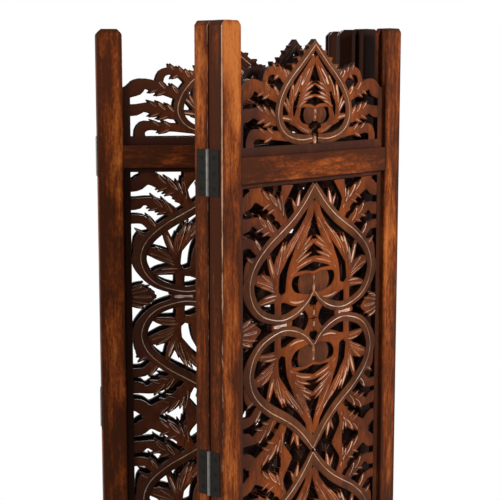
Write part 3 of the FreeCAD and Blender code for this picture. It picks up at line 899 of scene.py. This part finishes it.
def leaf_shape(low, high, outer, at_right, at_back, sizes):
    """Leaf of a butt hinge: plate against the post's end, knuckles on the axis, tongues between them
    and three screws, drawn for a post towards +x and +y and then turned to its end and side."""
    half = (high[2] - low[2]) / 2
    third = half / 3
    knuckle = sizes.knuckle_radius
    side = knuckle * SIDE_OF_EIGHT
    reach = high[1] - low[1] - side
    face = LEAF_DEPTH - LEAF_THICKNESS
    shapes = [marked(plate((face, knuckle + KNUCKLE_SLIT, -half), (LEAF_DEPTH, reach, half),
                           sizes.plate_corner, PLATE_EASE), 0.0, 0.0)]
    if outer:
        runs = [(-half, -third - KNUCKLE_PLAY), (third + KNUCKLE_PLAY, half)]
    else:
        runs = [(KNUCKLE_PLAY - third, third - KNUCKLE_PLAY)]
    for bottom, top in runs:
        rim = knuckle - KNUCKLE_EASE
        section = [(PIN_BORE, bottom), (rim, bottom), (knuckle, bottom + KNUCKLE_EASE),
                   (knuckle, top - KNUCKLE_EASE), (rim, top), (PIN_BORE, top)]
        shapes.append(marked(turned(section, KNUCKLE_SIDES), KNUCKLE_RUB, 0.0))
        tongue = plate((face, TONGUE_START * knuckle, bottom),
                       (LEAF_DEPTH, knuckle + 2 * KNUCKLE_SLIT, top), TONGUE_CORNER, TONGUE_EASE)
        shapes.append(marked(tongue, TONGUE_RUB, 0.0))
    # Painted shadow: a dark disc under each head darkens the countersink round it and the floor of its slot.
    shadow_disc = turned_solid([sizes.screw_radius + SHADOW_DISC_RIM] * 2, [0, SHADOW_DISC_RISE], SHADOW_DISC_SIDES)
    shadow_disc = Shape(shadow_disc.points[:, [2, 0, 1]], shadow_disc.quads, shadow_disc.ends).mirrored(0)
    screw = screw_half(sizes.screw_radius, SCREW_SLOT, SCREW_RISE)
    for share in SCREW_PLACES:
        place = (face, (knuckle + reach) / 2, share * half)
        shapes += [marked(shadow_disc.moved(place), 0.0, 1.0), marked(screw.moved(place), 0.0, HEAD_BLACK),
                   marked(screw.mirrored(1).moved(place), 0.0, HEAD_BLACK)]
    leaf = joined(shapes)
    axis_x, axis_y = low[0] + side, low[1] + side
    if at_right:
        leaf = leaf.mirrored(0)
        axis_x = high[0] - side
    if at_back:
        leaf = leaf.mirrored(1)
        axis_y = high[1] - side
    return leaf.moved((axis_x, axis_y, (low[2] + high[2]) / 2))


def pin_shape(low, high, radius):
    """Pin with slightly domed ends: circles that widen to the full radius over the dome's height."""
    rise = PIN_DOME * PIN_LEVELS
    levels = np.concatenate([low + rise, high - rise[::-1]])
    radii = radius * np.concatenate([PIN_RADII, PIN_RADII[::-1]])
    return marked(turned_solid(radii, levels, PIN_SIDES), PIN_RUB, 0.0)


# Finishes

WHITE = (1, 1, 1, 1)


class Wire:
    """An output socket that takes part in arithmetic: each operator adds one Math node."""

    def __init__(self, finish, socket):
        self.finish = finish
        self.socket = socket

    def math(self, operation, *values):
        """A Math node on the given values."""
        return self.finish.add("ShaderNodeMath", {"operation": operation}, dict(enumerate(values)))

    def __add__(self, other):
        return self.math("ADD", self, other)

    def __sub__(self, other):
        return self.math("SUBTRACT", self, other)

    def __rsub__(self, other):
        return self.math("SUBTRACT", other, self)

    def __mul__(self, other):
        return self.math("MULTIPLY", self, other)

    __radd__ = __add__
    __rmul__ = __mul__

    def clipped(self):
        """The value held between 0 and 1."""
        return self.finish.add("ShaderNodeClamp", {}, {0: self})


class Finish:
    """Node tree of one material, filled node by node."""

    def __init__(self, tree):
        self.tree = tree
        self.tree.nodes.clear()

    def add(self, kind, settings=None, inputs=None, output=0):
        """A node of a kind: its settings first, then the values or links of its sockets."""
        node = self.tree.nodes.new(kind)
        for key, value in (settings or {}).items():
            if key == "stops":
                self.set_stops(node.color_ramp, value)
            else:
                setattr(node, key, value)
        for key, value in (inputs or {}).items():
            if isinstance(value, Wire):
                self.tree.links.new(value.socket, node.inputs[key])
            else:
                node.inputs[key].default_value = value
        return Wire(self, node.outputs[output]) if len(node.outputs) else node

    def set_stops(self, ramp, stops):
        """Places and colours of a ramp's stops."""
        while len(ramp.elements) < len(stops):
            ramp.elements.new(0.5)
        for element, (place, shade) in zip(ramp.elements, stops):
            element.position = place
            element.color = tuple(shade) + (1.0,)

    def value(self, name):
        """A named number of the mesh."""
        return self.add("ShaderNodeAttribute", {"attribute_name": name}, output=2)

    def noise(self, scale, detail, roughness, distortion=0.0):
        """Cloudy noise from 0 to 1 over the grain's coordinates, each taken so many times."""
        grain = self.add("ShaderNodeAttribute", {"attribute_name": "grain"}, output=1)
        place = self.add("ShaderNodeVectorMath", {"operation": "MULTIPLY"}, {0: grain, 1: scale})
        return self.add("ShaderNodeTexNoise", {}, {"Vector": place, "Scale": 1.0, "Detail": detail,
                                                   "Roughness": roughness, "Distortion": distortion})

    def span(self, value, low, high):
        """A value's run from low to high made a run from 0 to 1."""
        return self.add("ShaderNodeMapRange", {"interpolation_type": "SMOOTHSTEP"},
                        {0: value, 1: low, 2: high})

    def mix(self, factor, first, second):
        """Colour between two colours."""
        first, second = [shade if isinstance(shade, Wire) else tuple(shade) + (1.0,)
                         for shade in (first, second)]
        return self.add("ShaderNodeMix", {"data_type": "RGBA"}, {0: factor, 6: first, 7: second}, output=2)

    def seen(self):
        """1 for what the camera sees, straight or mirrored, and 0 for what only lights the screen."""
        straight, mirrored, through = [
            self.add("ShaderNodeLightPath", output=ray)
            for ray in ("Is Camera Ray", "Is Glossy Ray", "Is Transmission Ray")]
        return (straight + mirrored + through).clipped()

    def surface(self, inputs):
        """Principled surface to the material's output."""
        shader = self.add("ShaderNodeBsdfPrincipled", {}, inputs)
        self.add("ShaderNodeOutputMaterial", {}, {0: shader})


def new_finish(name):
    """Empty material with nodes."""
    material = bpy.data.materials.get(name) or bpy.data.materials.new(name)
    material.use_nodes = True
    return material, Finish(material.node_tree)


def frame_wood(finish):
    """Posts and rails: cloudy stain over a fine speckle, dark pores, pale worn arrises, and painted light
    and shade where the stain value carries it.
    """
    material, nodes = new_finish("frame_wood")
    cloud = nodes.noise((13, 13, 5), 4.0, 0.55, 0.6)
    mottle = nodes.noise((110, 110, 26), 3.0, 0.6, 0.5)
    speck = nodes.noise((260, 260, 95), 4.0, 0.7)
    figure = nodes.noise((75, 75, 7), 2.0, 0.5, 1.6)
    stain = nodes.value("stain")
    tone = nodes.span(0.45 * cloud + 0.15 * mottle + 0.18 * figure + 0.22 * speck + stain, 0.37, 0.63)
    wood = nodes.add("ShaderNodeValToRGB", {"stops": [
        (0.0, finish.stain_dark), (0.36, finish.stain_mid), (1.0, finish.stain_light)]}, {0: tone})
    # Painted shade: where the stain value is strongly darkened, as on the heads of the posts behind panel 1,
    # the wood runs towards the darkest colour.
    wood = nodes.mix((-4.0 * stain - 0.5).clipped(), wood, finish.dark_stain_and_shade)
    pores = nodes.noise((900, 900, 110), 2.0, 0.6)
    wood = nodes.mix(0.5 * nodes.span(pores, 0.56, 0.70), wood, finish.stain_dark)
    chips = nodes.noise((190, 190, 34), 5.0, 0.7)
    worn = nodes.span(nodes.value("edge") + 0.8 * chips, 1.16, 1.38)
    wood = nodes.mix(0.8 * worn, wood, finish.worn_wood)
    normal = nodes.add("ShaderNodeBump", {}, {"Strength": 0.3, "Distance": 0.0004,
                                              "Height": 0.5 * speck + 0.5 * mottle})
    nodes.surface({"Base Color": wood, "Roughness": 0.42 + 0.2 * speck, "Normal": normal,
                   "Specular IOR Level": 0.035})
    return material


def carved_wood(finish):
    """Carved boards: warm leaves, darker bands, painted shade on the edges and sawn walls, pale knife cuts
    with painted glints.
    """
    material, nodes = new_finish("carved_wood")
    cloud = nodes.noise((17, 17, 11), 3.0, 0.55, 0.4)
    mottle = nodes.noise((150, 150, 42), 4.0, 0.65, 0.4)
    fibre = nodes.noise((560, 560, 60), 3.0, 0.65)
    wood = nodes.mix(nodes.value("band"), finish.carved_leaf, finish.carved_band)
    stain = nodes.value("stain")
    # The stain value darkens and reddens the wood below; on the boards of panels 2, 3 and 4 it carries
    # painted shade.
    tone = nodes.span(0.5 * cloud + 0.25 * mottle + 0.25 * fibre + stain, 0.36, 0.62)
    red = nodes.span(nodes.noise((8, 8, 6), 3.0, 0.6, 0.5), 0.46, 0.66)
    wood = nodes.mix((0.6 * red - 2.5 * stain).clipped(), wood, finish.carved_red)
    wood = nodes.mix((0.68 * (1 - tone) - 0.9 * stain).clipped(), wood, finish.dark_stain_and_shade)
    # Painted shade on the sawn walls and the strip edges.
    sawn = (0.3 * nodes.value("dip") + 0.9 * nodes.value("wall")).clipped()
    wood = nodes.mix(sawn, wood, finish.dark_stain_and_shade)
    rubbed = nodes.span(nodes.noise((34, 34, 34), 4.0, 0.6), 0.36, 0.56)
    # Painted shade: the pale cuts are dimmed where the stain is darkened, as on the boards in the shade.
    shaded = (1 + 3 * stain).clipped()
    # Painted highlight: patches of the cuts are whitened into glints.
    glint = nodes.span(nodes.noise((16, 16, 16), 3.0, 0.55), 0.50, 0.60)
    cut = nodes.mix(0.7 * glint, finish.bare_wood, finish.painted_cut_glint)
    wood = nodes.mix(nodes.value("pale") * (0.5 + 0.5 * rubbed) * shaded, wood, cut)
    normal = nodes.add("ShaderNodeBump", {}, {"Strength": 0.3, "Distance": 0.0004,
                                              "Height": 0.5 * fibre + 0.5 * mottle})
    nodes.surface({"Base Color": wood, "Roughness": 0.40 + 0.2 * fibre, "Normal": normal,
                   "Specular IOR Level": 0.045})
    return material


def hinge_steel(finish):
    """Blackened steel, rubbed bright on the knuckles and in specks; black screws with painted shadow round
    and in them.
    """
    material, nodes = new_finish("hinge_steel")
    cloud = nodes.noise((220, 220, 160), 4.0, 0.65)
    speck = nodes.noise((1100, 1100, 1100), 2.0, 0.6)
    rubbed = nodes.span(0.6 * cloud + 0.4 * speck + 0.42 * nodes.value("rub"), 0.56, 0.95)
    steel = nodes.mix(rubbed, finish.hinge_black, finish.hinge_bright)
    # The screws' own black on the heads, and painted shadow on the disc under them.
    steel = nodes.mix(0.85 * nodes.value("head"), steel, finish.screw_black_and_shadow)
    normal = nodes.add("ShaderNodeBump", {}, {"Strength": 0.25, "Distance": 0.0002, "Height": speck})
    nodes.surface({"Base Color": steel, "Metallic": 0.6 * rubbed, "Roughness": 0.45 + 0.2 * speck,
                   "Normal": normal, "Specular IOR Level": 0.05})
    return material


def pale_floor(finish):
    """Matt studio floor that is white to the eye, keeping the screen's shadow near its feet."""
    material, nodes = new_finish("pale_floor")
    place = nodes.add("ShaderNodeTexCoord", output="Object")
    radius = nodes.add("ShaderNodeVectorMath", {"operation": "LENGTH"}, {0: place}, output="Value")
    share = nodes.seen() * (0.62 + 0.38 * nodes.span(radius, 0.7, 2.0))
    matt = nodes.add("ShaderNodeBsdfDiffuse", {}, {0: tuple(finish.floor) + (1.0,)})
    white = nodes.add("ShaderNodeEmission", {}, {0: WHITE, 1: 1.0})
    shader = nodes.add("ShaderNodeMixShader", {}, {0: share, 1: matt, 2: white})
    nodes.add("ShaderNodeOutputMaterial", {}, {0: shader})
    return material


# Operators

# Stain of the frames, the rails and the carved boards: above 0 lighter, below 0 darker. The much darker
# boards of panels 2, 3 and 4 are painted shade, for the panels that stand in the shade of panel 1.
PANEL_STAIN = {1: -0.03, 2: -0.03, 3: -0.08, 4: -0.05}
RAIL_STAIN = -0.06
CARVED_STAIN_AND_SHADE = {1: 0.01, 2: -0.27, 3: -0.07, 4: -0.12}
# Looks of a post: stain of the whole post; painted shade on its outer end; painted light and shade on its
# head, lighter as if lit from above where the value is above 0 and darker where the post stands in the shade
# behind panel 1; gold patch on its front as depth below the head, half height and strength; wear of its
# front arris
PLAIN_POST = {"stain": 0.0, "end": 0.0, "head": -0.03, "gold": (0.3, 0.3, 0.0), "arris": 0.7}
POST_LOOKS = {
    "panel1_left_post": {"end": -0.12, "head": 0.11, "arris": 1.12},
    "panel1_right_post": {"stain": -0.06, "head": 0.06, "gold": (0.36, 0.22, 0.11)},
    "panel2_left_post": {"head": 0.04, "arris": 0.86},
    "panel2_right_post": {"stain": -0.05, "head": -0.22, "arris": 0.85},
    "panel3_left_post": {"head": 0.01, "gold": (0.24, 0.14, 0.12)},
    "panel3_right_post": {"stain": -0.03, "head": -0.22, "arris": 0.85},
    "panel4_right_post": {"stain": -0.03, "head": -0.22},
}
# Width of the boards' border that the rails leave free
END_MARGIN = 9 * MM


class SCREEN_OT_posts(bpy.types.Operator):
    """Makes the grooved posts with their chamfered heads."""

    bl_idname = "folding_screen.posts"
    bl_label = "Posts"

    def execute(self, context):
        sizes, material = context.scene.screen_sizes, frame_wood(context.scene.screen_finish)
        for panel in PANELS.values():
            for piece, inner_side, seed in (("left_post", 1, 1), ("right_post", -1, 2)):
                node = panel.node(piece)
                look = {**PLAIN_POST, **POST_LOOKS.get(node, {})}
                shape = post_shape(*panel.local_box(node), inner_side, look, sizes)
                make_piece("grooved_" + node, shape, panel, material, node,
                           seed=seed + 10 * panel.number, stain=PANEL_STAIN[panel.number] + look["stain"])
        return {"FINISHED"}


class SCREEN_OT_rails(bpy.types.Operator):
    """Makes the rails between the posts."""

    bl_idname = "folding_screen.rails"
    bl_label = "Rails"

    def execute(self, context):
        sizes, material = context.scene.screen_sizes, frame_wood(context.scene.screen_finish)
        for panel in PANELS.values():
            for piece, seed in (("top_rail", 3), ("bottom_rail", 4)):
                node = panel.node(piece)
                low, high = panel.local_box(node)
                low[0], high[0] = -panel.inner, panel.inner
                make_piece("planed_" + node, rail_shape(low, high, sizes), panel, material,
                           node, grain=(1, 2, 0), seed=seed + 10 * panel.number,
                           stain=PANEL_STAIN[panel.number] + RAIL_STAIN)
        return {"FINISHED"}


class SCREEN_OT_fretwork(bpy.types.Operator):
    """Makes the carved main boards."""

    bl_idname = "folding_screen.fretwork"
    bl_label = "Fretwork boards"

    def execute(self, context):
        sizes, material = context.scene.screen_sizes, carved_wood(context.scene.screen_finish)
        for panel in PANELS.values():
            node = panel.node("fretwork")
            bottom = panel.local_box(panel.node("bottom_rail"))[1][2] + END_MARGIN
            top = panel.local_box(panel.node("top_rail"))[0][2] - END_MARGIN
            shape = fretwork_shape(*panel.local_box(node), panel.inner, bottom, top, sizes)
            make_piece("carved_" + node, shape, panel, material, node,
                       seed=5 + 10 * panel.number, stain=CARVED_STAIN_AND_SHADE[panel.number])
        return {"FINISHED"}


class SCREEN_OT_crests(bpy.types.Operator):
    """Makes the carved crests."""

    bl_idname = "folding_screen.crests"
    bl_label = "Crests"

    def execute(self, context):
        sizes, material = context.scene.screen_sizes, carved_wood(context.scene.screen_finish)
        for panel in PANELS.values():
            node = panel.node("crest")
            rail_top = panel.local_box(panel.node("top_rail"))[1][2]
            shape = crest_shape(*panel.local_box(node), panel.inner, rail_top, sizes)
            make_piece("carved_" + node, shape, panel, material, node,
                       seed=6 + 10 * panel.number, stain=CARVED_STAIN_AND_SHADE[panel.number])
        return {"FINISHED"}


class SCREEN_OT_hinges(bpy.types.Operator):
    """Makes the butt hinges with their knuckles, pins and screws."""

    bl_idname = "folding_screen.hinges"
    bl_label = "Hinges"

    def execute(self, context):
        sizes, material = context.scene.screen_sizes, hinge_steel(context.scene.screen_finish)
        for first, second in HINGE_LINES:
            line = "hinge%d%d" % (first, second)
            low, high = PANELS[first].local_box(line + "_pins")
            middle = (low + high) / 2 * np.array([1, 1, 0])
            pins = []
            for number in HINGE_NUMBERS:
                for kind, owner, at_back in (("outer", first, True), ("inner", second, False)):
                    node = "%s_%d_%s_leaf" % (line, number, kind)
                    panel = PANELS[owner]
                    box = panel.local_box(node)
                    shape = leaf_shape(*box, kind == "outer", low[0] > 0, at_back, sizes)
                    make_piece("butt_" + node, shape, panel, material, node,
                               seed=number + owner)
                    if kind == "outer":
                        pins.append(pin_shape(box[0][2], box[1][2], (high[0] - low[0]) / 2).moved(middle))
            make_piece("turned_%s_pins" % line, joined(pins), PANELS[first], material,
                       line + "_pins", seed=first)
        return {"FINISHED"}


# Stage: half the width of the floor; height at which the lamps are aimed, on the screen's axis; colour and
# strength of the soft light; the lamps' colour; and each lamp's name, turn from the front in degrees,
# distance, height, width and power
FLOOR_REACH = 9.0
AIM_HEIGHT = 1.45
SOFT_COLOUR = (1, 0.98, 0.96, 1)
SOFT_STRENGTH = 0.13
LAMP_COLOUR = (1.0, 0.98, 0.95)
LAMPS = (
    ("right_box", 66, 2.6, 2.7, 1.1, 86.0),
    ("left_box", -62, 2.7, 2.6, 1.2, 74.0),
    ("back_box", 172, 3.2, 2.4, 1.6, 80.0),
)


class SCREEN_OT_stage(bpy.types.Operator):
    """Makes the floor, the light and the camera."""

    bl_idname = "folding_screen.stage"
    bl_label = "Stage"

    def execute(self, context):
        self.floor(context)
        self.world(context)
        self.lamps(context)
        self.camera(context)
        context.scene.view_settings.view_transform = "Standard"
        return {"FINISHED"}

    def floor(self, context):
        """Wide pale floor under the feet."""
        reach = FLOOR_REACH
        mesh = bpy.data.meshes.new("floor")
        mesh.from_pydata([(-reach, -reach, 0), (reach, -reach, 0), (reach, reach, 0), (-reach, reach, 0)],
                         [], [(0, 1, 2, 3)])
        mesh.materials.append(pale_floor(context.scene.screen_finish))
        floor = bpy.data.objects.new("floor", mesh)
        context.scene.collection.objects.link(floor)

    def world(self, context):
        """White to the camera and in reflections, soft grey light elsewhere."""
        world = bpy.data.worlds.new("studio")
        context.scene.world = world
        world.use_nodes = True
        nodes = Finish(world.node_tree)
        white = nodes.add("ShaderNodeBackground", {}, {0: WHITE, 1: 1.0})
        soft = nodes.add("ShaderNodeBackground", {}, {0: SOFT_COLOUR, 1: SOFT_STRENGTH})
        shader = nodes.add("ShaderNodeMixShader", {}, {0: nodes.seen(), 1: soft, 2: white})
        nodes.add("ShaderNodeOutputWorld", {}, {0: shader})

    def lamps(self, context):
        """Soft boxes aimed at the upper part of the screen, from both sides and from behind."""
        for name, turn, distance, height, size, power in LAMPS:
            lamp = bpy.data.lights.new(name, "AREA")
            lamp.size = size
            lamp.energy = power
            lamp.color = LAMP_COLOUR
            box = bpy.data.objects.new(name, lamp)
            angle = math.radians(turn)
            box.location = (distance * math.sin(angle), -distance * math.cos(angle), height)
            aim = box.location.copy()
            aim.z -= AIM_HEIGHT
            box.rotation_euler = aim.to_track_quat("Z", "Y").to_euler()
            context.scene.collection.objects.link(box)

    def camera(self, context):
        """Camera of the photograph, placed from the near corner of the first panel."""
        panel = PANELS[1]
        low = panel.local_box(panel.node("left_post"))[0] * np.array([1, 1, 0])
        corner = panel.to_world(low)
        lens = bpy.data.cameras.new("photo_camera")
        lens.sensor_width = SENSOR_WIDTH
        lens.lens = PHOTO_FOCAL / PHOTO_WIDTH * SENSOR_WIDTH
        camera = bpy.data.objects.new("photo_camera", lens)
        camera.location = (corner[0] + CAMERA_OFFSET[0], corner[1] + CAMERA_OFFSET[1], CAMERA_HEIGHT)
        camera.rotation_euler = (math.pi / 2 - CAMERA_TILT, 0, CAMERA_TURN)
        context.scene.collection.objects.link(camera)
        context.scene.camera = camera


class SCREEN_PT_panel(bpy.types.Panel):
    """Sidebar panel with the sizes, the finish and the steps."""

    bl_idname = "SCREEN_PT_panel"
    bl_label = "Carved Folding Screen"
    bl_space_type = "VIEW_3D"
    bl_region_type = "UI"
    bl_category = "Screen"

    def draw(self, context):
        layout = self.layout
        for group in (context.scene.screen_sizes, context.scene.screen_finish):
            for name in group.bl_rna.properties.keys():
                if name not in ("rna_type", "name"):
                    layout.prop(group, name)
        for step in STEPS:
            layout.operator(step.bl_idname)


STEPS = (SCREEN_OT_posts, SCREEN_OT_rails, SCREEN_OT_fretwork, SCREEN_OT_crests, SCREEN_OT_hinges,
         SCREEN_OT_stage)
CLASSES = (ScreenSizes, ScreenFinish) + STEPS + (SCREEN_PT_panel,)


def register():
    """Registers the classes and hangs the settings on the scene."""
    for cls in CLASSES:
        bpy.utils.register_class(cls)
    bpy.types.Scene.screen_sizes = bpy.props.PointerProperty(type=ScreenSizes)
    bpy.types.Scene.screen_finish = bpy.props.PointerProperty(type=ScreenFinish)


def unregister():
    """Takes the settings and the classes away again."""
    del bpy.types.Scene.screen_sizes
    del bpy.types.Scene.screen_finish
    for cls in reversed(CLASSES):
        bpy.utils.unregister_class(cls)


def main():
    """Builds the screen step by step."""
    register()
    for step in STEPS:
        group, name = step.bl_idname.split(".")
        getattr(getattr(bpy.ops, group), name)()


if __name__ == "__main__":
    main()
